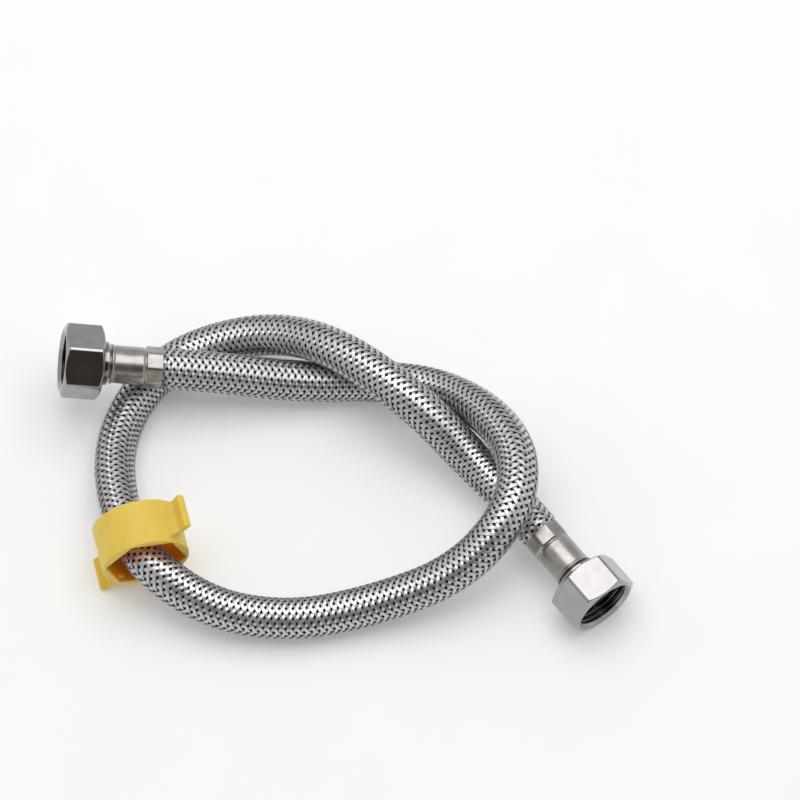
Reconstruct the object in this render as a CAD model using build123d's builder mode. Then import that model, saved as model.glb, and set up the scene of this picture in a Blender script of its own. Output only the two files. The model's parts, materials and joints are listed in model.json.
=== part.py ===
"""A braided supply line, about 0.6 m long, lying on a bench in a loose overhand loop.

Frame: millimetres, +Z up, the bench is the plane Z = 0. The origin is on the bench, under the
middle of the box round the end fittings. End A is the raised end, which points along -X. End B
lies on one flat of its nut and points along +X and -Y.

Each end is a stem with a flange and a barbed tail, a coupling nut that turns on the stem's neck,
a flat gasket on the flange, and a ferrule crimped over the hose. The hose is a rubber inner tube
inside a wire braid sleeve. A yellow hand spanner, a ring with two wings, hangs on the hose.
"""

import os
from math import cos, pi, radians, sin, tan

from build123d import *

# Hose
hose_r = 7.1  # outside radius of the braid
braid_inner_r = 6.1
tube_outer_r = 6.05
tube_bore_r = 4.0

# The hose's crimped ends, inside the ferrules
crimp_braid_outer_r = 5.85
crimp_braid_inner_r = 5.05
crimp_tube_outer_r = 5.0
crimp_tube_bore_r = 4.4
crimp_length = 16.7
neck_down_length = 3.0  # the stretch over which the hose narrows before it enters the ferrule
neck_down_overlap = 0.5

# Ferrule, measured along the end's axis from where the hose leaves it
ferrule_length = 17.7
ferrule_bore_r = 5.9
ferrule_band_length = 6.0
ferrule_band_r = 7.0
ferrule_band_flats = 8
ferrule_band_apothem = 6.65
ferrule_barrel_r = 6.45
ferrule_lip_r = 6.8
ferrule_lip_length = 0.9
ferrule_wall = 0.8
ferrule_eye_r = 4.65
ferrule_edge = 0.3  # chamfer on the ferrule's outer edges
ferrule_step = 0.4  # length of the slope at each end of the band

# Stem
stem_bore_r = 3.0
stem_tail_start = 1.0
stem_tail_root_r = 3.9
stem_barb_r = 4.35
stem_barb_count = 5
stem_barb_peak = 0.8  # where a barb is highest, as a part of its pitch
stem_groove_r = 4.6
stem_groove_play = 0.1  # the groove is this much wider than the ferrule's wall
stem_neck_r = 5.0
stem_flange_r = 8.9
stem_flange_start = 22.35
stem_flange_length = 1.5

# Gasket
gasket_outer_r = 9.1
gasket_inner_r = 4.6
gasket_length = 1.8

# Coupling nut, female G1/2
nut_start = 18.6
nut_collar_length = 2.1
nut_collar_r = 7.5
nut_collar_chamfer = 0.3
nut_hex_length = 13.4
nut_across_flats = 23.0
nut_neck_bore_r = stem_neck_r + 0.08  # running fit on the stem's neck
nut_floor = 22.3
nut_thread_r = 9.32  # minor radius of G1/2
nut_relief_r = 9.9
nut_relief_slope_length = 0.4
nut_mouth_r = 10.5
nut_mouth_chamfer = 1.1
nut_front_face_r = 11.1
nut_rear_face_r = 11.2
nut_chamfer_slope = tan(radians(30))

# Hand spanner. A wing is thinnest at its waist, and its tip and root are thicker.
spanner_width = 16.2
spanner_outer_r = 14.9
spanner_across_flats = 24.0
spanner_wing_reach = 23.2
spanner_wing_low = -1.7
spanner_wing_high = 1.2
spanner_wing_waist = (19.0, 0.2)
spanner_wing_waist_radius = 3.0
spanner_wing_root = (14.2, 2.4)
spanner_wing_rounding = 0.8
spanner_wing_width = 11.9
spanner_wing_setback = 2.6  # from the face towards end A
spanner_heading = -75.4  # degrees from +X, seen from above
spanner_roll = 48.0
spanner_place = (-67.7, -24.13)  # its middle, seen from above

# Where the hose leaves each ferrule, and the way each mouth points
end_a_exit = Vector(-62.09, 40.30, 20.4)
end_a_heading = 180.8
end_a_rise = 11.5
end_a_roll = 9.0
end_b_exit = Vector(67.16, -18.27, nut_across_flats / 2)
end_b_heading = -52.4
end_b_rise = 0.0
end_b_roll = 30.0

# Straight runs at the two ends of the hose
end_a_run = 21.0
end_b_run = 16.0

# The hose's route between those runs, from end A to end B: over its own return, under the arch,
# up over end B's tail, round the bench, through the spanner, under end A's ferrule, over the arch
# and down under the loop to end B
route_between = [
    (-15, 39.6, 9.5),
    (11, 40.6, hose_r),
    (33, 36.5, 10),
    (50.5, 21, 21.5),
    (59.5, 2, 27),
    (56.5, -19, 27),
    (38.5, -36, 16),
    (10, -44, 8),
    (-18, -50, hose_r),
    (-46, -46.5, 10.5),
    (-67.3, -31.5, 17.5),
    (-77, -6.5, 12.5),
    (-78.5, 21, hose_r),
    (-68, 44, hose_r),
    (-49, 56, 8),
    (-23, 57.5, 14),
    (-1, 45.5, 24.5),
    (23.5, 24.5, 24.5),
    (42.5, 8.5, 12),
]
arc_share = 0.45  # the part of the shorter run beside a corner that the corner's arc takes


def heading_vector(heading, rise):
    """Unit vector at a heading from +X and a rise above the bench, both in degrees."""
    level = cos(radians(rise))
    return Vector(level * cos(radians(heading)), level * sin(radians(heading)), sin(radians(rise)))


def end_plane(exit_point, heading, rise, roll):
    """Plane at the hose's exit whose Z points out of the nut's mouth, turned by roll about it."""
    out = heading_vector(heading, rise)
    side = Vector(0, 0, 1).cross(out).normalized()
    up = out.cross(side)
    across = up * cos(radians(roll)) + side * sin(radians(roll))
    return Plane(origin=exit_point, x_dir=across, z_dir=out)


plane_a = end_plane(end_a_exit, end_a_heading, end_a_rise, end_a_roll)
plane_b = end_plane(end_b_exit, end_b_heading, end_b_rise, end_b_roll)

route = [end_a_exit, end_a_exit - plane_a.z_dir * end_a_run]
route += [Vector(*point) for point in route_between]
route += [end_b_exit - plane_b.z_dir * end_b_run, end_b_exit]


def corner_radii(points):
    """Radius of the tangent arc at each inner point of the route."""
    radii = []
    for before, corner, after in zip(points, points[1:], points[2:]):
        turn = radians((corner - before).get_angle(after - corner))
        shorter = min((corner - before).length, (after - corner).length)
        radii.append(arc_share * shorter / tan(turn / 2))
    return radii


route_radii = corner_radii(route)
with BuildLine() as hose_path:
    FilletPolyline(*route, radius=route_radii)
hose_start_plane = Plane(origin=end_a_exit, x_dir=plane_a.x_dir, z_dir=-plane_a.z_dir)
hose_length = hose_path.wires()[0].length


def profile_plane(plane):
    """Plane whose X is the radius and whose Y runs along the end's axis, for turned shapes."""
    return Plane(origin=plane.origin, x_dir=plane.x_dir, z_dir=plane.x_dir.cross(plane.z_dir))


def turned(plane, *outlines, mode=Mode.ADD):
    """Revolve closed outlines of (radius, height) points about the end's axis."""
    with BuildSketch(profile_plane(plane)) as section:
        for outline in outlines:
            with BuildLine():
                Polyline(*outline, close=True)
            make_face()
    revolve(section.sketch, axis=Axis(plane.origin, plane.z_dir), mode=mode)


def swept_tube(outer_r, inner_r):
    """Sweep the hose's ring section along its route."""
    with BuildSketch(hose_start_plane) as section:
        Circle(outer_r)
        Circle(inner_r, mode=Mode.SUBTRACT)
    sweep(section.sketch, path=hose_path.wires()[0])


def ring(inner_r, outer_r, low, high):
    """Outline of a plain ring between two heights."""
    return [(inner_r, low), (outer_r, low), (outer_r, high), (inner_r, high)]


os.makedirs("parts", exist_ok=True)


# Wire braid sleeve, with its two crimped tails
braid_tail = [
    (braid_inner_r, -neck_down_length),
    (braid_inner_r + neck_down_overlap, -neck_down_length),
    (braid_inner_r + neck_down_overlap, 0),
    (crimp_braid_outer_r, 0),
    (crimp_braid_outer_r, crimp_length),
    (crimp_braid_inner_r, crimp_length),
    (crimp_braid_inner_r, 0),
]
with BuildPart() as braid_sleeve:
    swept_tube(hose_r, braid_inner_r)
    for plane in (plane_a, plane_b):
        turned(plane, braid_tail)
braid_sleeve.part.label = "braid_sleeve"
export_step(braid_sleeve.part, "parts/braid_sleeve.step")


# Rubber inner tube, narrowed inside the ferrules
tube_neck_down = [
    (tube_outer_r, -neck_down_length),
    (hose_r, -neck_down_length),
    (hose_r, neck_down_overlap),
    (crimp_tube_outer_r, neck_down_overlap),
    (crimp_tube_outer_r, 0),
]
with BuildPart() as inner_tube:
    swept_tube(tube_outer_r, tube_bore_r)
    for plane in (plane_a, plane_b):
        turned(plane, tube_neck_down, mode=Mode.SUBTRACT)
        turned(plane, ring(crimp_tube_bore_r, crimp_tube_outer_r, 0, crimp_length))
inner_tube.part.label = "inner_tube"
export_step(inner_tube.part, "parts/inner_tube.step")


def make_stem(plane):
    """Turned brass insert: barbed tail, groove for the ferrule, neck and flange."""
    groove_start = ferrule_length - ferrule_wall - stem_groove_play
    flange_end = stem_flange_start + stem_flange_length
    barb_pitch = (crimp_length - stem_tail_start) / (stem_barb_count + 1)
    outline = [(stem_bore_r, stem_tail_start), (stem_tail_root_r, stem_tail_start)]
    for barb in range(stem_barb_count):
        foot = stem_tail_start + barb * barb_pitch
        outline.append((stem_barb_r, foot + stem_barb_peak * barb_pitch))
        outline.append((stem_tail_root_r, foot + barb_pitch))
    outline += [
        (stem_tail_root_r, groove_start),
        (stem_groove_r, groove_start),
        (stem_groove_r, ferrule_length),
        (stem_neck_r, ferrule_length),
        (stem_neck_r, stem_flange_start),
        (stem_flange_r, stem_flange_start),
        (stem_flange_r, flange_end),
        (stem_bore_r, flange_end),
    ]
    with BuildPart() as stem:
        turned(plane, outline)
    return stem.part


def make_ferrule(plane):
    """Crimped cap: eight-sided band on the hose side, round barrel, lip and front wall."""
    band_top = ferrule_band_length
    lip_start = ferrule_length - ferrule_lip_length
    shell = [
        (ferrule_bore_r, 0),
        (ferrule_band_r - ferrule_edge, 0),
        (ferrule_band_r, ferrule_step),
        (ferrule_band_r, band_top - ferrule_step),
        (ferrule_barrel_r, band_top),
        (ferrule_barrel_r, lip_start),
        (ferrule_lip_r, lip_start + ferrule_edge),
        (ferrule_lip_r, ferrule_length - ferrule_edge),
        (ferrule_lip_r - ferrule_edge, ferrule_length),
        (ferrule_eye_r, ferrule_length),
        (ferrule_eye_r, ferrule_length - ferrule_wall),
        (ferrule_bore_r, ferrule_length - ferrule_wall),
    ]
    with BuildPart() as ferrule:
        turned(plane, shell)
        with BuildSketch(plane) as flats:
            Circle(2 * ferrule_band_r)
            RegularPolygon(ferrule_band_apothem, ferrule_band_flats, major_radius=False, mode=Mode.SUBTRACT)
        extrude(flats.sketch, amount=band_top - ferrule_step / 2, mode=Mode.SUBTRACT)
    return ferrule.part


def make_gasket(plane):
    """Flat rubber sealing ring on the stem's flange."""
    start = stem_flange_start + stem_flange_length
    with BuildPart() as gasket:
        turned(plane, ring(gasket_inner_r, gasket_outer_r, start, start + gasket_length))
    return gasket.part


def make_nut(plane):
    """Hexagonal coupling nut with a round rear collar, a neck bore and a threaded socket."""
    hex_start = nut_start + nut_collar_length
    mouth = hex_start + nut_hex_length
    thread_start = stem_flange_start + stem_flange_length + gasket_length
    corner_r = nut_across_flats / 2 / cos(pi / 6)
    envelope = [
        (0, nut_start),
        (nut_collar_r - nut_collar_chamfer, nut_start),
        (nut_collar_r, nut_start + nut_collar_chamfer),
        (nut_collar_r, hex_start),
        (nut_rear_face_r, hex_start),
        (corner_r, hex_start + (corner_r - nut_rear_face_r) * nut_chamfer_slope),
        (corner_r, mouth - (corner_r - nut_front_face_r) * nut_chamfer_slope),
        (nut_front_face_r, mouth),
        (0, mouth),
    ]
    cavity = [
        (0, nut_start),
        (nut_neck_bore_r, nut_start),
        (nut_neck_bore_r, nut_floor),
        (nut_relief_r, nut_floor),
        (nut_relief_r, thread_start - nut_relief_slope_length),
        (nut_thread_r, thread_start),
        (nut_thread_r, mouth - nut_mouth_chamfer),
        (nut_mouth_r, mouth),
        (0, mouth),
    ]
    with BuildPart() as nut:
        with BuildSketch(plane.offset(nut_start)):
            RegularPolygon(nut_across_flats / 2, 6, major_radius=False)
        extrude(amount=mouth - nut_start)
        turned(plane, envelope, mode=Mode.INTERSECT)
        turned(plane, cavity, mode=Mode.SUBTRACT)
    return nut.part


for suffix, plane in (("a", plane_a), ("b", plane_b)):
    for name, maker in (
        ("stem", make_stem),
        ("ferrule", make_ferrule),
        ("gasket", make_gasket),
        ("coupling_nut", make_nut),
    ):
        piece = maker(plane)
        piece.label = f"{name}_{suffix}"
        export_step(piece, f"parts/{name}_{suffix}.step")


# Hand spanner: a ring with a hexagonal hole, which slides over a nut, and two wings. One wing rests
# on the bench.
spanner_axis = heading_vector(spanner_heading, 0)
spanner_side = Vector(0, 0, 1).cross(spanner_axis)
roll_cos = cos(radians(spanner_roll))
roll_sin = sin(radians(spanner_roll))
spanner_height = (
    (spanner_wing_reach - spanner_wing_rounding) * roll_sin
    - (spanner_wing_low + spanner_wing_rounding) * roll_cos
    + spanner_wing_rounding
)
spanner_centre = Vector(*spanner_place, spanner_height)
wing_direction = spanner_side * roll_cos + Vector(0, 0, roll_sin)
spanner_plane = Plane(origin=spanner_centre, x_dir=wing_direction, z_dir=spanner_axis)
spanner_face = spanner_plane.offset(-spanner_width / 2)
with BuildPart() as hand_spanner:
    with BuildSketch(spanner_face):
        Circle(spanner_outer_r)
    extrude(amount=spanner_width)
    with BuildSketch(spanner_face.offset(spanner_wing_setback)) as wings:
        with BuildLine():
            Polyline(
                (spanner_across_flats / 2, spanner_wing_low),
                (spanner_wing_reach, spanner_wing_low),
                (spanner_wing_reach, spanner_wing_high),
                spanner_wing_waist,
                spanner_wing_root,
                (spanner_across_flats / 2, spanner_wing_root[1]),
                close=True,
            )
        make_face()
        fillet(wings.vertices().group_by(Axis.X)[-1], radius=spanner_wing_rounding)
        waist = wings.vertices().sort_by_distance((*spanner_wing_waist, 0))[0]
        fillet(waist, radius=spanner_wing_waist_radius)
        mirror(about=Plane.YZ)
    extrude(amount=spanner_wing_width)
    with BuildSketch(spanner_face):
        RegularPolygon(spanner_across_flats / 2, 6, major_radius=False)
    extrude(amount=spanner_width, mode=Mode.SUBTRACT)
hand_spanner.part.label = "hand_spanner"
export_step(hand_spanner.part, "parts/hand_spanner.step")


section_area = pi * (hose_r**2 - braid_inner_r**2)
print("hose length between ferrules", round(hose_length, 1))
print("arc radii", [round(radius, 1) for radius in route_radii])
print("braid volume", round(braid_sleeve.part.volume), "section x length", round(section_area * hose_length))
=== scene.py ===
"""Looks of a braided supply line that lies on a bench in a loose overhand loop.

Frame: metres, +Z up, the bench is the plane Z = 0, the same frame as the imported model. Each end has
its own axes: the origin where the hose leaves the ferrule, Z out of the nut's mouth, X towards one
corner of the nut. Shapes along those axes are written in millimetres and scaled by mm.
"""

import json
from math import atan2, cos, pi, radians, sin, sqrt, tan

import bmesh
import bpy
import numpy as np
from mathutils import Matrix, Vector


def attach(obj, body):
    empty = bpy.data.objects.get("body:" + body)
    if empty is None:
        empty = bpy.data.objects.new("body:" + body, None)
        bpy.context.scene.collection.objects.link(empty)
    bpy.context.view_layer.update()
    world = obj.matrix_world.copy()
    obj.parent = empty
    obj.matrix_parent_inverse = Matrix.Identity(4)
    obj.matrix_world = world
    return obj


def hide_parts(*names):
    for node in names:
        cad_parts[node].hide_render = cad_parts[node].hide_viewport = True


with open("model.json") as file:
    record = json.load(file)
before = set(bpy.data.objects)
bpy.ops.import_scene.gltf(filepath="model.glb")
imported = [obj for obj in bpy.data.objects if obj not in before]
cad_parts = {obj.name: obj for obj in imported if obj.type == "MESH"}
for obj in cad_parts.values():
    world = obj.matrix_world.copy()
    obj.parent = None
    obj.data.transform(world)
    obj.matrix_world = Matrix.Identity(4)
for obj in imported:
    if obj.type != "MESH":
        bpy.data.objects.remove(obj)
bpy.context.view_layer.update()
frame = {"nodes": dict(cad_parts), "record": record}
mm = 0.001
scene = bpy.context.scene
joints = {joint["name"]: joint for joint in frame["record"]["behaviour"]["joints"]}


def add_object(name, data):
    """Object with some data, in the scene."""
    added = bpy.data.objects.new(name, data)
    scene.collection.objects.link(added)
    return added


# ---------------------------------------------------------------- camera

view_target = Vector((0.01931, 0.03838, 0.0))  # the bench's point in the picture's middle
view_distance = 1.8
view_elevation = radians(63.0)
camera_data = bpy.data.cameras.new("camera")
camera_data.lens = 235.5
camera_data.sensor_width = 36.0
camera = add_object("camera", camera_data)
view_line = Vector((0, -cos(view_elevation), sin(view_elevation)))
camera.location = view_target + view_line * view_distance
camera.rotation_euler = (-view_line).to_track_quat("-Z", "Y").to_euler()
scene.camera = camera

# ---------------------------------------------------------------- the ends' own axes

joint_height = 20.4 * mm  # a nut's joint, along its end's axis
roll_a = radians(9.0)
roll_b = radians(30.0)


def end_axes(joint_name, roll):
    """Matrix from an end's own axes to the model's."""
    out = Vector(joints[joint_name]["axis"]).normalized()
    origin = Vector(joints[joint_name]["pos_m"]) - out * joint_height
    side = Vector((0, 0, 1)).cross(out).normalized()
    across = out.cross(side) * cos(roll) + side * sin(roll)
    turn = Matrix((across, out.cross(across), out)).transposed()
    return Matrix.Translation(origin) @ turn.to_4x4()


axes_a = end_axes("nut_a_turn", roll_a)
axes_b = end_axes("nut_b_turn", roll_b)
exit_a = axes_a.translation.copy()
exit_b = axes_b.translation.copy()
out_a = axes_a.to_3x3() @ Vector((0, 0, 1))
out_b = axes_b.to_3x3() @ Vector((0, 0, 1))

# ---------------------------------------------------------------- the hose's line

end_a_run = 21 * mm
end_b_run = 16 * mm

# The CAD's route between those runs, moved by up to 2 mm to follow the photograph
route_between = [
    (-0.0147, 0.0403, 0.0095),
    (0.0113, 0.0424, 0.0071),
    (0.0338, 0.0379, 0.010),
    (0.0509, 0.0214, 0.0215),
    (0.0600, 0.0024, 0.027),
    (0.0568, -0.0186, 0.027),
    (0.0388, -0.0353, 0.016),
    (0.0103, -0.0432, 0.008),
    (-0.0177, -0.0488, 0.0071),
    (-0.0451, -0.0454, 0.0105),
    (-0.0669, -0.0312, 0.0175),
    (-0.0772, -0.0061, 0.0125),
    (-0.0780, 0.0210, 0.0071),
    (-0.0664, 0.0436, 0.0071),
    (-0.0485, 0.0556, 0.008),
    (-0.0227, 0.0579, 0.014),
    (-0.0009, 0.0457, 0.0245),
    (0.0243, 0.0255, 0.0245),
    (0.0435, 0.0096, 0.012),
]
route = [exit_a, exit_a - out_a * end_a_run]
route += [Vector(point) for point in route_between]
route += [exit_b - out_b * end_b_run, exit_b]


def spline_points(points, steps):
    """Points along the smooth NURBS curve that a route's points control."""
    data = bpy.data.curves.new("route", "CURVE")
    data.dimensions = "3D"
    data.resolution_u = steps
    spline = data.splines.new("NURBS")
    spline.points.add(len(points) - 1)
    for control, point in zip(spline.points, points):
        control.co = (*point, 1.0)
    spline.order_u = 3
    spline.use_endpoint_u = True
    holder = add_object("route", data)
    mesh = bpy.data.meshes.new_from_object(holder)
    line = np.array([tuple(vertex.co) for vertex in mesh.vertices])
    bpy.data.meshes.remove(mesh)
    bpy.data.objects.remove(holder)
    bpy.data.curves.remove(data)
    return line


class HoseLine:
    """The hose's centreline by distance from end A's ferrule, with axes that don't twist."""

    def __init__(self, points):
        steps = np.linalg.norm(np.diff(points, axis=0), axis=1)
        self.points = points
        self.distances = np.concatenate([[0.0], np.cumsum(steps)])
        self.length = self.distances[-1]
        tangents = np.gradient(points, self.distances, axis=0)
        self.tangents = tangents / np.linalg.norm(tangents, axis=1)[:, None]
        normal = np.cross(self.tangents[0], (0.0, 0.0, 1.0))
        normals = []
        for tangent in self.tangents:
            normal = normal - tangent * np.dot(normal, tangent)
            normal = normal / np.linalg.norm(normal)
            normals.append(normal)
        self.normals = np.array(normals)

    def sample(self, table, distances):
        """One of the tables at any distances, held past the two ends."""
        columns = [np.interp(distances, self.distances, column) for column in table.T]
        return np.stack(columns, axis=-1)

    def surface(self, distances, angles, radii):
        """Points round the line at distances along it, angles round it and radii from it."""
        centre = self.sample(self.points, distances)
        tangent = self.sample(self.tangents, distances)
        normal = self.sample(self.normals, distances)
        past_end = distances - np.clip(distances, 0, self.length)
        across = np.cross(tangent, normal)
        offset = normal * np.cos(angles)[..., None] + across * np.sin(angles)[..., None]
        return centre + tangent * past_end[..., None] + offset * radii[..., None]


line_steps = 64
hose = HoseLine(spline_points(route, line_steps))

# ---------------------------------------------------------------- mesh helpers


def new_object(name, points, faces):
    """Smooth mesh object from an array of points and lists of point numbers."""
    mesh = bpy.data.meshes.new(name)
    mesh.from_pydata(np.asarray(points).reshape(-1, 3).tolist(), [], faces)
    mesh.validate()
    mesh.polygons.foreach_set("use_smooth", [True] * len(mesh.polygons))
    return add_object(name, mesh)


def grid_faces(rows, columns, wrap_rows=False, start=0):
    """Quads over a grid of points whose rows close on themselves, as point numbers."""
    row = np.arange(rows if wrap_rows else rows - 1)
    column = np.arange(columns)
    row, column = np.meshgrid(row, column, indexing="ij")
    next_row = (row + 1) % rows
    next_column = (column + 1) % columns
    corners = [
        row * columns + column,
        row * columns + next_column,
        next_row * columns + next_column,
        next_row * columns + column,
    ]
    return (np.stack(corners, axis=-1).reshape(-1, 4) + start).tolist()


def closed_tube_faces(rows, columns, start=0):
    """Quads over such a grid, with a cap over its first row and another over its last."""
    faces = grid_faces(rows, columns, start=start)
    last = start + (rows - 1) * columns
    faces.append([start + column for column in range(columns)][::-1])
    faces.append([last + column for column in range(columns)])
    return faces


def even_angles(steps):
    """Angles at even steps round a full turn."""
    return [step * 2 * pi / steps for step in range(steps)]


def outward(piece):
    """Turn the piece's faces to point out of it."""
    shape = bmesh.new()
    shape.from_mesh(piece.data)
    bmesh.ops.recalc_face_normals(shape, faces=shape.faces)
    shape.to_mesh(piece.data)
    shape.free()


def finish_piece(piece, material, body, slot, *nodes):
    """Give a piece its material and body, and hide the nodes that it stands for. The slot is not
    used.
    """
    piece.data.materials.clear()
    piece.data.materials.append(material)
    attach(piece, body)
    if nodes:
        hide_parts(*nodes)


# ---------------------------------------------------------------- material helpers


class Shader:
    """A principled material whose colour, roughness and bump come from nodes."""

    def __init__(self, name):
        self.material = bpy.data.materials.new(name)
        self.material.use_nodes = True
        self.tree = self.material.node_tree
        self.surface = self.tree.nodes["Principled BSDF"]
        self.place = self.tree.nodes.new("ShaderNodeTexCoord").outputs["Object"]

    def link(self, source, target):
        """Join one node's output to another's input."""
        self.tree.links.new(source, target)

    def noise(self, size, detail):
        """Noise from 0 to 1 with features of a size in metres."""
        noise = self.tree.nodes.new("ShaderNodeTexNoise")
        noise.inputs["Scale"].default_value = 1 / size
        noise.inputs["Detail"].default_value = detail
        self.link(self.place, noise.inputs["Vector"])
        return noise.outputs["Fac"]

    def attribute(self, name):
        """A number that the mesh carries at each of its points."""
        reader = self.tree.nodes.new("ShaderNodeAttribute")
        reader.attribute_name = name
        return reader.outputs["Fac"]

    def lines(self, value, pitch):
        """Fine uneven lines across a value in metres, from 0 to 1."""
        scaled = self.tree.nodes.new("ShaderNodeMath")
        scaled.operation = "MULTIPLY"
        scaled.inputs[1].default_value = 1 / pitch
        self.link(value, scaled.inputs[0])
        noise = self.tree.nodes.new("ShaderNodeTexNoise")
        noise.noise_dimensions = "1D"
        noise.inputs["Detail"].default_value = 4.0
        self.link(scaled.outputs["Value"], noise.inputs["W"])
        return noise.outputs["Fac"]

    def spread(self, value, low, high, start=0.3, end=0.7):
        """A value between start and end, which noise rarely leaves, spread from low to high."""
        spread = self.tree.nodes.new("ShaderNodeMapRange")
        spread.inputs["From Min"].default_value = start
        spread.inputs["From Max"].default_value = end
        spread.inputs["To Min"].default_value = low
        spread.inputs["To Max"].default_value = high
        self.link(value, spread.inputs["Value"])
        return spread.outputs["Result"]

    def mix(self, value, first, second):
        """A colour between two by a noise value."""
        mix = self.tree.nodes.new("ShaderNodeMix")
        mix.data_type = "RGBA"
        mix.inputs["A"].default_value = (*first, 1)
        mix.inputs["B"].default_value = (*second, 1)
        self.link(self.spread(value, 0, 1), mix.inputs["Factor"])
        return mix.outputs["Result"]

    def warmed(self, colour, value, second):
        """A colour that turns to a second one as a value goes from 0 to 1."""
        mix = self.tree.nodes.new("ShaderNodeMix")
        mix.data_type = "RGBA"
        self.link(colour, mix.inputs["A"])
        mix.inputs["B"].default_value = (*second, 1)
        self.link(value, mix.inputs["Factor"])
        return mix.outputs["Result"]

    def dimmed(self, colour, value, part):
        """A colour that falls to a part of itself as a value goes from 0 to 1."""
        scale = self.tree.nodes.new("ShaderNodeVectorMath")
        scale.operation = "SCALE"
        self.link(colour, scale.inputs[0])
        self.link(self.spread(value, 1, part, 0, 1), scale.inputs["Scale"])
        return scale.outputs["Vector"]

    def colour(self, source):
        """Give the surface its colour."""
        self.link(source, self.surface.inputs["Base Color"])

    def roughness(self, value, low, high):
        """Roughness between two by a value."""
        self.link(self.spread(value, low, high), self.surface.inputs["Roughness"])

    def bump(self, *layers):
        """Bump from pairs of a value and its height in metres."""
        below = None
        for value, height in layers:
            bump = self.tree.nodes.new("ShaderNodeBump")
            bump.inputs["Strength"].default_value = 1.0
            bump.inputs["Distance"].default_value = height
            self.link(value, bump.inputs["Height"])
            if below is not None:
                self.link(below, bump.inputs["Normal"])
            below = bump.outputs["Normal"]
        self.link(below, self.surface.inputs["Normal"])

    def set(self, **values):
        """Set the surface's own inputs, with _ for each space in a name."""
        for name, value in values.items():
            self.surface.inputs[name.replace("_", " ")].default_value = value


def wire_material():
    """Bright stainless wire, slightly uneven from strand to strand."""
    shader = Shader("wire_braid")
    shader.set(Metallic=1.0)
    patches = shader.noise(2.2 * mm, 3.0)
    drawn = shader.noise(0.25 * mm, 2.0)
    shader.colour(shader.mix(patches, (0.58, 0.58, 0.59), (0.74, 0.74, 0.755)))
    shader.roughness(patches, 0.32, 0.44)
    shader.bump((drawn, 0.004 * mm))
    return shader.material


def tube_material():
    """Matt black rubber."""
    shader = Shader("tube_rubber")
    shader.set(Metallic=0.0)
    grain = shader.noise(0.5 * mm, 4.0)
    shader.colour(shader.mix(grain, (0.010, 0.010, 0.011), (0.022, 0.022, 0.023)))
    shader.roughness(grain, 0.6, 0.8)
    shader.bump((grain, 0.02 * mm))
    return shader.material


def ferrule_material():
    """Stainless sheet, drawn and crimped, with fine rings and small dents."""
    shader = Shader("ferrule_steel")
    shader.set(Metallic=1.0)
    rings = shader.lines(shader.attribute("along"), 0.35 * mm)
    patches = shader.noise(3.5 * mm, 3.0)
    shader.colour(shader.mix(patches, (0.32, 0.30, 0.28), (0.44, 0.415, 0.39)))
    shader.roughness(rings, 0.20, 0.34)
    shader.bump((patches, 0.05 * mm), (rings, 0.006 * mm))
    return shader.material


def nut_material():
    """Bright nickel plate over machined brass, with faint tool rings; painted shade darkens the plate
    in the bore.
    """
    shader = Shader("nut_nickel")
    shader.set(Metallic=1.0)
    rings = shader.lines(shader.attribute("along"), 0.25 * mm)
    patches = shader.noise(5 * mm, 3.0)
    plate = shader.mix(patches, (0.35, 0.335, 0.33), (0.41, 0.395, 0.39))
    # painted shade: the plate in the threaded bore is darkened to about a third of its colour
    shader.colour(shader.dimmed(plate, shader.attribute("bore"), 0.35))
    shader.roughness(patches, 0.07, 0.14)
    shader.bump((patches, 0.03 * mm), (rings, 0.002 * mm))
    return shader.material


def stem_material():
    """Turned brass under dull nickel plate."""
    shader = Shader("stem_nickel")
    shader.set(Metallic=1.0)
    patches = shader.noise(1.5 * mm, 4.0)
    shader.colour(shader.mix(patches, (0.20, 0.19, 0.18), (0.32, 0.31, 0.29)))
    shader.roughness(patches, 0.25, 0.40)
    shader.bump((patches, 0.01 * mm))
    return shader.material


def gasket_material():
    """Matt black sealing rubber."""
    shader = Shader("gasket_rubber")
    grain = shader.noise(0.4 * mm, 4.0)
    shader.colour(shader.mix(grain, (0.012, 0.012, 0.013), (0.028, 0.028, 0.030)))
    shader.roughness(grain, 0.55, 0.75)
    shader.bump((grain, 0.02 * mm))
    return shader.material


def spanner_material():
    """Moulded yellow plastic, a little translucent, with a satin skin and painted orange shade on the
    ring's inner faces.
    """
    shader = Shader("spanner_plastic")
    cloud = shader.noise(9 * mm, 3.0)
    skin = shader.noise(0.45 * mm, 3.0)
    outer = shader.mix(cloud, (0.78, 0.57, 0.085), (0.83, 0.62, 0.10))
    # painted shade: faces that look into the ring turn deep orange, standing in for light coming
    # through the plastic
    shader.colour(shader.warmed(outer, shader.attribute("painted_inner_shade"), (0.90, 0.36, 0.008)))
    shader.roughness(skin, 0.36, 0.48)
    shader.bump((skin, 0.012 * mm))
    shader.set(Subsurface_Weight=0.35, Subsurface_Scale=1.0, Specular_IOR_Level=0.4)
    shader.surface.inputs["Subsurface Radius"].default_value = (3.0 * mm, 1.3 * mm, 0.2 * mm)
    return shader.material


wire = wire_material()
tube_rubber = tube_material()
ferrule_steel = ferrule_material()
nickel = nut_material()
dull_nickel = stem_material()
gasket_rubber = gasket_material()
yellow_plastic = spanner_material()

# ---------------------------------------------------------------- the wire braid

lead = 28.8 * mm  # one turn of a band
bands_each_way = 12
wires_per_band = 5
wire_d = 0.22 * mm
band_width = wires_per_band * wire_d
band_foot = 0.8  # the flat underside's width, as a part of the band's
over_r = 6.95 * mm
under_r = 6.57 * mm
middle_r = (over_r + under_r) / 2
sections_per_turn = 96
swap_sharpness = 3.0  # how quickly a band goes from over to under
column_angle = radians(60.0)  # two columns, one with each family on top
column_start = radians(7.5)
tail_length = 2.0 * mm  # the part of the braid inside each ferrule
neck_length = 1.9 * mm
neck_depth = 1.25 * mm
bands_per_piece = 4


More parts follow.
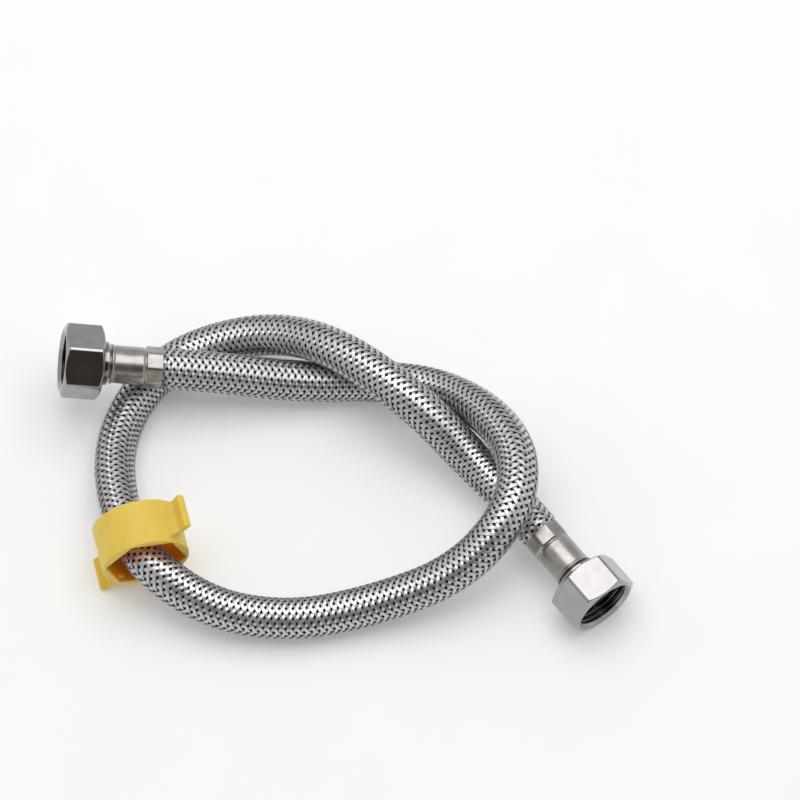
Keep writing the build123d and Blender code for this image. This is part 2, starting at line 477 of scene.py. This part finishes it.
def neck(distances):
    """How far the hose is pressed in near the two ferrules."""
    from_end = np.minimum(distances, hose.length - distances)
    part = np.clip(1 - from_end / neck_length, 0, 1)
    return neck_depth * part * part * (3 - 2 * part)


def band_profile():
    """Offsets across a band and heights over its middle: round wires on top, flat underneath."""
    offsets = []
    heights = []
    half = band_width / 2
    for step in range(2 * wires_per_band + 1):
        on_crest = step % 2 == 1
        offsets.append(step * wire_d / 2 - half)
        heights.append(wire_d / 2 if on_crest else 0.0)
    offsets += [half * band_foot, -half * band_foot]
    heights += [-wire_d / 2, -wire_d / 2]
    return np.array(offsets), np.array(heights)


def band_points(way, number):
    """Points of one band that winds one way (1 or -1) from end to end, section by section."""
    offsets, heights = band_profile()
    count = int((hose.length + 2 * tail_length) / lead * sections_per_turn)
    along = np.linspace(-tail_length, hose.length + tail_length, count)
    turn = way * along / lead * 2 * pi + number * 2 * pi / bands_each_way
    slant = atan2(2 * pi * middle_r, lead)
    wave = np.tanh(swap_sharpness * np.sin((turn - column_start) * 2 * pi / column_angle))
    swing = way * (over_r - under_r) / 2 * wave / np.tanh(swap_sharpness)
    distances = along[:, None] - way * offsets[None, :] * sin(slant)
    angles = turn[:, None] + offsets[None, :] * cos(slant) / middle_r
    radii = middle_r + swing[:, None] + heights[None, :] - neck(distances)
    return hose.surface(distances, angles, radii)


def braid_piece(name, way, numbers):
    """Some of the bands of one family as a single piece."""
    points = []
    faces = []
    for number in numbers:
        band = band_points(way, number)
        start = sum(len(part) for part in points)
        rows, columns, _ = band.shape
        faces += closed_tube_faces(rows, columns, start)
        points.append(band.reshape(-1, 3))
    piece = new_object(name, np.concatenate(points), faces)
    finish_piece(piece, wire, "hose_line", "wire_braid", "braid_sleeve")
    return piece


for way, side in ((1, "right"), (-1, "left")):
    for part in range(bands_each_way // bands_per_piece):
        first = part * bands_per_piece
        numbers = range(first, first + bands_per_piece)
        braid_piece(f"braid_{side}_{part + 1}", way, numbers)

# ---------------------------------------------------------------- the rubber tube under it

core_r = 6.10 * mm
core_step = 1.0 * mm
core_sides = 32


def core_piece():
    """The dark tube that shows through the gaps in the braid."""
    count = int((hose.length + 2 * tail_length) / core_step)
    along = np.linspace(-tail_length, hose.length + tail_length, count)
    distances = np.repeat(along[:, None], core_sides, axis=1)
    angles = np.tile(even_angles(core_sides), (count, 1))
    points = hose.surface(distances, angles, core_r - neck(distances))
    piece = new_object("rubber_tube", points, closed_tube_faces(count, core_sides))
    finish_piece(piece, tube_rubber, "hose_line", "tube_rubber", "inner_tube")
    return piece


core = core_piece()

# ---------------------------------------------------------------- turned shapes


softening_pieces = 3
softening_share = 0.45  # the most of an edge that one rounded corner takes


def softened(outline, radius):
    """The outline's inner corners rounded, each by the same number of points."""
    points = [outline[0]]
    for before, corner, after in zip(outline, outline[1:], outline[2:]):
        back = Vector(before) - Vector(corner)
        ahead = Vector(after) - Vector(corner)
        reach = min(radius, softening_share * back.length, softening_share * ahead.length)
        start = Vector(corner) + back.normalized() * reach
        end = Vector(corner) + ahead.normalized() * reach
        for step in range(softening_pieces + 1):
            part = step / softening_pieces
            low = start.lerp(Vector(corner), part)
            high = Vector(corner).lerp(end, part)
            points.append(tuple(low.lerp(high, part)))
    points.append(outline[-1])
    return points


def shade_by_area(mesh):
    """Point normals that lean to the largest faces beside them, so that flats look flat."""
    normals = np.zeros((len(mesh.vertices), 3))
    for face in mesh.polygons:
        share = (face.area / mm**2) ** 2
        normals[list(face.vertices)] += np.array(face.normal) * share
    normals /= np.linalg.norm(normals, axis=1)[:, None]
    mesh.normals_split_custom_set_from_vertices(normals)


def turned_piece(name, axes, angles, outline_at, bore=(0.0, 0.0, 0.0)):
    """A ring whose section, a closed outline of (radius, height) in mm, may change with the angle.

    Points within the bore's radius, between its two heights, are marked for the material's painted
    shade.
    """
    shade_r, shade_start, shade_end = bore
    rows = []
    heights = []
    bore_shade = []
    for angle in angles:
        section = outline_at(angle)
        rows.append([(r * cos(angle), r * sin(angle), height) for r, height in section])
        heights.append([height * mm for _, height in section])
        bore_shade.append([r < shade_r and shade_start < height < shade_end for r, height in section])
    turn = np.array(axes.to_3x3())
    points = np.array(rows) * mm @ turn.T + np.array(axes.translation)
    sections, columns, _ = points.shape
    piece = new_object(name, points, grid_faces(sections, columns, wrap_rows=True))
    for attribute, numbers in (("along", heights), ("bore", bore_shade)):
        values = piece.data.attributes.new(attribute, "FLOAT", "POINT")
        values.data.foreach_set("value", np.array(numbers, dtype=float).ravel())
    outward(piece)
    shade_by_area(piece.data)
    return piece


# Ferrule, in mm along the end's axis
ferrule_length = 17.7
ferrule_bore_r = 5.9
ferrule_barrel_r = 6.45
ferrule_band_length = 6.0
ferrule_band_r = 7.0
ferrule_band_flats = 8
ferrule_band_apothem = 6.62
ferrule_lip_r = 6.85
ferrule_lip_length = 0.9
ferrule_wall = 0.8
ferrule_eye_r = 4.65
ferrule_shoulder = 0.5  # from the band's full width to its end
ferrule_groove = 0.25
ferrule_groove_start = -0.05  # these three are measured from the band's end
ferrule_groove_slope = 0.35
ferrule_groove_end = 0.9
ferrule_slope_depth = 0.6  # the groove's depth at its slope, as a part of its full depth
ferrule_waist = 0.12
ferrule_waist_start = -0.5  # these three are measured from the lip's start
ferrule_waist_end = -0.15
ferrule_lip_rise = 0.2
ferrule_seam = (8.0, 8.4)  # where the section's outline begins and ends, on the bore
ferrule_edge = 0.35


def ferrule_outline(angle):
    """Section of a ferrule: pressed band with flats, groove, round barrel, lip and front wall."""
    sector = 2 * pi / ferrule_band_flats
    from_flat = (angle + sector / 2) % sector - sector / 2
    flat_r = ferrule_band_apothem / cos(from_flat)
    band_r = min(ferrule_band_r, flat_r)
    end = ferrule_band_length
    lip = ferrule_length - ferrule_lip_length
    seam_start, seam_end = ferrule_seam
    corners = [
        (ferrule_bore_r, seam_start),
        (ferrule_bore_r, 0.0),
        (band_r, 0.0),
        (band_r, end - ferrule_shoulder),
        (ferrule_barrel_r - ferrule_groove, end + ferrule_groove_start),
        (ferrule_barrel_r - ferrule_groove * ferrule_slope_depth, end + ferrule_groove_slope),
        (ferrule_barrel_r, end + ferrule_groove_end),
        (ferrule_barrel_r, lip + ferrule_waist_start),
        (ferrule_barrel_r - ferrule_waist, lip + ferrule_waist_end),
        (ferrule_lip_r, lip + ferrule_lip_rise),
        (ferrule_lip_r, ferrule_length),
        (ferrule_eye_r, ferrule_length),
        (ferrule_eye_r, ferrule_length - ferrule_wall),
        (ferrule_bore_r, ferrule_length - ferrule_wall),
        (ferrule_bore_r, seam_end),
    ]
    return softened(corners, ferrule_edge)


# Coupling nut, in mm along the end's axis
nut_start = 18.6
nut_hex_start = 20.7
nut_mouth = 34.1
nut_collar_r = 7.5
nut_neck_bore_r = 5.08
nut_half_flats = 11.5
nut_corner_rounding = 1.8
nut_rear_face_r = 11.2
nut_front_face_r = 11.1
nut_edge_break = 0.3
nut_slope = tan(radians(30))
nut_floor = 22.3
nut_relief_r = 9.9
nut_thread_start = 25.65
nut_relief_end = nut_thread_start - 0.4
nut_thread_end = 33.0
nut_thread_r = 9.32
nut_mouth_r = 10.5
nut_seam = (nut_floor - 1.0, nut_floor - 0.8)  # where the section's outline begins and ends
nut_edge = 0.3
nut_shade_start = nut_floor - 2.0  # between these heights the bore is darkened with painted shade
nut_shade_end = nut_thread_end - 0.2
thread_pitch = 25.4 / 14  # 14 turns an inch
thread_depth = 1.0
thread_sharpness = 0.96  # near 0 the thread is a sine wave, and 1 makes it pointed
thread_rows_per_turn = 12
hex_sector = pi / 3
corner_steps = 7
flat_steps = 12

# Each corner is an arc: its centre's radius, and half the angle that it fills, seen from the axis
corner_centre_r = (nut_half_flats - nut_corner_rounding) / cos(hex_sector / 2)
corner_span = atan2(
    nut_corner_rounding * sin(hex_sector / 2),
    corner_centre_r + nut_corner_rounding * cos(hex_sector / 2),
)


def hex_radius(angle):
    """Radius of the rounded hexagon; a corner is at angle 0."""
    from_corner = abs((angle + hex_sector / 2) % hex_sector - hex_sector / 2)
    if from_corner > corner_span:
        return nut_half_flats / cos(hex_sector / 2 - from_corner)
    aside = corner_centre_r * sin(from_corner)
    return corner_centre_r * cos(from_corner) + sqrt(nut_corner_rounding**2 - aside**2)


def hex_angles():
    """Angles round a nut, closer together at its corners."""
    flat_span = hex_sector - 2 * corner_span
    angles = []
    for sector in range(6):
        start = sector * hex_sector - corner_span
        for step in range(corner_steps):
            angles.append(start + 2 * corner_span * step / corner_steps)
        for step in range(flat_steps):
            angles.append(start + 2 * corner_span + flat_span * step / flat_steps)
    return angles


def thread_wall(angle):
    """The socket's wall from its mouth down, with the rounded thread that runs round it."""
    count = int((nut_thread_end - nut_thread_start) / thread_pitch * thread_rows_per_turn)
    wall = []
    for row in range(count + 1):
        height = nut_thread_end + (nut_thread_start - nut_thread_end) * row / count
        phase = (height / thread_pitch - angle / (2 * pi)) * 2 * pi
        wave = np.arcsin(thread_sharpness * sin(phase)) / np.arcsin(thread_sharpness)
        room = min(nut_thread_end - height, height - nut_thread_start, thread_pitch / 2)
        fade = room / (thread_pitch / 2)
        wall.append((nut_thread_r + thread_depth * (0.5 + 0.5 * wave) * fade, height))
    return wall


def nut_outline(angle):
    """Section of a coupling nut: neck bore, collar, chamfered hexagon, mouth, thread and floor."""
    corner = hex_radius(angle)
    rear = min(nut_rear_face_r, corner - nut_edge_break)
    front = min(nut_front_face_r, corner - nut_edge_break)
    seam_start, seam_end = nut_seam
    outside = [
        (nut_neck_bore_r, seam_start),
        (nut_neck_bore_r, nut_start),
        (nut_collar_r, nut_start),
        (nut_collar_r, nut_hex_start),
        (rear, nut_hex_start),
        (corner, nut_hex_start + (corner - rear) * nut_slope),
        (corner, nut_mouth - (corner - front) * nut_slope),
        (front, nut_mouth),
        (nut_mouth_r, nut_mouth),
        (nut_thread_r, nut_thread_end),
    ]
    inside = [
        (nut_relief_r, nut_relief_end),
        (nut_relief_r, nut_floor),
        (nut_neck_bore_r, nut_floor),
        (nut_neck_bore_r, seam_end),
    ]
    return softened(outside, nut_edge)[:-1] + thread_wall(angle) + softened(inside, nut_edge)


round_steps = 128
for end, axes in (("a", axes_a), ("b", axes_b)):
    ferrule = turned_piece(f"crimped_ferrule_{end}", axes, even_angles(round_steps), ferrule_outline)
    finish_piece(ferrule, ferrule_steel, "hose_line", "ferrule_steel", f"ferrule_{end}")
    # where the painted shade in the nut's bore goes: inside the mouth's radius, between two heights
    bore = (nut_mouth_r, nut_shade_start, nut_shade_end)
    nut = turned_piece(f"threaded_nut_{end}", axes, hex_angles(), nut_outline, bore)
    finish_piece(nut, nickel, f"nut_{end}", "nut_nickel", f"coupling_nut_{end}")
    for node, material in ((f"stem_{end}", dull_nickel), (f"gasket_{end}", gasket_rubber)):
        kept = frame["nodes"][node]
        for place in kept.material_slots:
            place.material = material

# ---------------------------------------------------------------- hand spanner

# In mm along the spanner's own axes, Z along the hose and X to a wing
spanner_width = 16.2
spanner_outer_r = 14.9
spanner_half_flats = 12.0
spanner_steps = 144
wing_start = spanner_half_flats + 0.5
wing_reach = 23.2
wing_low = -1.7
wing_high = 1.2
wing_waist = (19.0, 0.2)
wing_root = (14.2, 2.4)
wing_width = 11.9
wing_setback = 2.6
spanner_roll = radians(48.0)
spanner_voxel = 0.3 * mm
spanner_soften_share = 0.5
spanner_soften_steps = 12


def spanner_axes():
    """Matrix from the spanner's own axes to the model's."""
    along = Vector(joints["spanner_turn"]["axis"]).normalized()
    side = Vector((0, 0, 1)).cross(along)
    wing = side * cos(spanner_roll) + Vector((0, 0, 1)) * sin(spanner_roll)
    turn = Matrix((wing, along.cross(wing), along)).transposed()
    return Matrix.Translation(Vector(joints["spanner_turn"]["pos_m"])) @ turn.to_4x4()


def circle(radius, steps):
    """Points round a circle."""
    return [(radius * cos(angle), radius * sin(angle)) for angle in even_angles(steps)]


def wing_outline(side):
    """One wing, to the right (1) or the left (-1): flat on one side, waisted on the other."""
    points = [
        (wing_start, wing_low),
        (wing_reach, wing_low),
        (wing_reach, wing_high),
        wing_waist,
        wing_root,
        (wing_start, wing_root[1]),
    ]
    return [(side * x, y) for x, y in points]


def prism(shape, outline, low, high, hole=None):
    """Add a closed straight solid to a shape, with a hole of as many points as its outline."""
    bottom = [shape.verts.new((x * mm, y * mm, low * mm)) for x, y in outline]
    top = [shape.verts.new((x * mm, y * mm, high * mm)) for x, y in outline]
    walls = [(bottom, top)]
    if hole is None:
        shape.faces.new(bottom)
        shape.faces.new(top)
    else:
        inner_bottom = [shape.verts.new((x * mm, y * mm, low * mm)) for x, y in hole]
        inner_top = [shape.verts.new((x * mm, y * mm, high * mm)) for x, y in hole]
        walls += [(inner_bottom, inner_top), (bottom, inner_bottom), (top, inner_top)]
    for first, second in walls:
        for index in range(len(outline)):
            after = (index + 1) % len(outline)
            shape.faces.new((first[index], first[after], second[after], second[index]))


def hexagon(half_flats, steps):
    """Points round a hexagon at even angles from a corner, which is at angle 0."""
    points = []
    for angle in even_angles(steps):
        from_flat = angle % hex_sector - hex_sector / 2
        radius = half_flats / cos(from_flat)
        points.append((radius * cos(angle), radius * sin(angle)))
    return points


def spanner_blank():
    """The ring and the wings as sharp solids that run into each other."""
    shape = bmesh.new()
    low = -spanner_width / 2
    ring = circle(spanner_outer_r, spanner_steps)
    hole = hexagon(spanner_half_flats, spanner_steps)
    prism(shape, ring, low, low + spanner_width, hole)
    for side in (1, -1):
        prism(shape, wing_outline(side), low + wing_setback, low + wing_setback + wing_width)
    bmesh.ops.recalc_face_normals(shape, faces=shape.faces)
    mesh = bpy.data.meshes.new("spanner_blank")
    shape.to_mesh(mesh)
    shape.free()
    return mesh


def moulded_mesh(mesh):
    """A mesh's solids fused into one and softened."""
    blank = add_object("spanner_blank", mesh)
    fuse = blank.modifiers.new("fuse", "REMESH")
    fuse.mode = "VOXEL"
    fuse.voxel_size = spanner_voxel
    soften = blank.modifiers.new("soften", "SMOOTH")
    soften.factor = spanner_soften_share
    soften.iterations = spanner_soften_steps
    shown = blank.evaluated_get(bpy.context.evaluated_depsgraph_get())
    moulded = bpy.data.meshes.new_from_object(shown)
    bpy.data.objects.remove(blank)
    bpy.data.meshes.remove(mesh)
    return moulded


def mark_inner_shade(mesh):
    """Mark the points that face the axis, for the painted orange shade inside the ring."""
    painted_inner_shade = []
    for vertex in mesh.vertices:
        away = Vector((vertex.co.x, vertex.co.y, 0)).normalized()
        painted_inner_shade.append(max(0.0, -vertex.normal.dot(away)))
    mesh.attributes.new("painted_inner_shade", "FLOAT", "POINT").data.foreach_set("value", painted_inner_shade)


def spanner_piece():
    """Ring and wings in one soft-edged moulding, round the hose."""
    moulded = moulded_mesh(spanner_blank())
    moulded.name = "winged_spanner"
    mark_inner_shade(moulded)
    moulded.transform(spanner_axes())
    moulded.polygons.foreach_set("use_smooth", [True] * len(moulded.polygons))
    piece = add_object("winged_spanner", moulded)
    finish_piece(piece, yellow_plastic, "spanner", "spanner_plastic", "hand_spanner")


spanner_piece()

# ---------------------------------------------------------------- floor, world and lights

bench_half = 4.0
bench_glow = 0.17
light_place = (0.03, 0.22, 1.0)
light_aim = (0.03, 0.22, 0.0)
light_width = 1.0
light_depth = 0.95
light_power = 5.2
surround_colour = (0.66, 0.665, 0.67, 1)
patch_colour = (0.08, 0.065, 0.055, 1)
patch_way = (0.0, -0.707, 0.707)
patch_edge = (0.80, 0.93)  # where the patch begins and where it is full, as cosines from its way


def floor_piece():
    """Plain pale bench."""
    corners = [(x * bench_half, y * bench_half, 0) for x, y in ((-1, -1), (1, -1), (1, 1), (-1, 1))]
    floor = new_object("bench", corners, [[0, 1, 2, 3]])
    shader = Shader("bench_white")
    grain = shader.noise(40 * mm, 2.0)
    shader.colour(shader.mix(grain, (0.84, 0.84, 0.84), (0.86, 0.86, 0.86)))
    shader.roughness(grain, 0.7, 0.8)
    shader.set(Emission_Color=(1, 1, 1, 1), Emission_Strength=bench_glow)
    floor.data.materials.append(shader.material)


def area_light(name, place, aim, width, depth, power):
    """Soft box that faces a point."""
    data = bpy.data.lights.new(name, "AREA")
    data.shape = "RECTANGLE"
    data.size = width
    data.size_y = depth
    data.energy = power
    light = add_object(name, data)
    light.location = place
    light.rotation_euler = (Vector(aim) - Vector(place)).to_track_quat("-Z", "Y").to_euler()


def studio_world():
    """Pale surround with a dim patch above the front of the bench."""
    world = bpy.data.worlds.new("studio")
    world.use_nodes = True
    tree = world.node_tree
    background = tree.nodes["Background"]
    background.inputs["Strength"].default_value = 1.0
    direction = tree.nodes.new("ShaderNodeTexCoord").outputs["Generated"]
    facing = tree.nodes.new("ShaderNodeVectorMath")
    facing.operation = "DOT_PRODUCT"
    facing.inputs[1].default_value = patch_way
    tree.links.new(direction, facing.inputs[0])
    ramp = tree.nodes.new("ShaderNodeValToRGB")
    outer, inner = ramp.color_ramp.elements
    outer.position, inner.position = patch_edge
    outer.color = surround_colour
    inner.color = patch_colour
    tree.links.new(facing.outputs["Value"], ramp.inputs["Fac"])
    tree.links.new(ramp.outputs["Color"], background.inputs["Color"])
    scene.world = world


floor_piece()
area_light("light_above", light_place, light_aim, light_width, light_depth, light_power)
studio_world()
scene.view_settings.view_transform = "Standard"
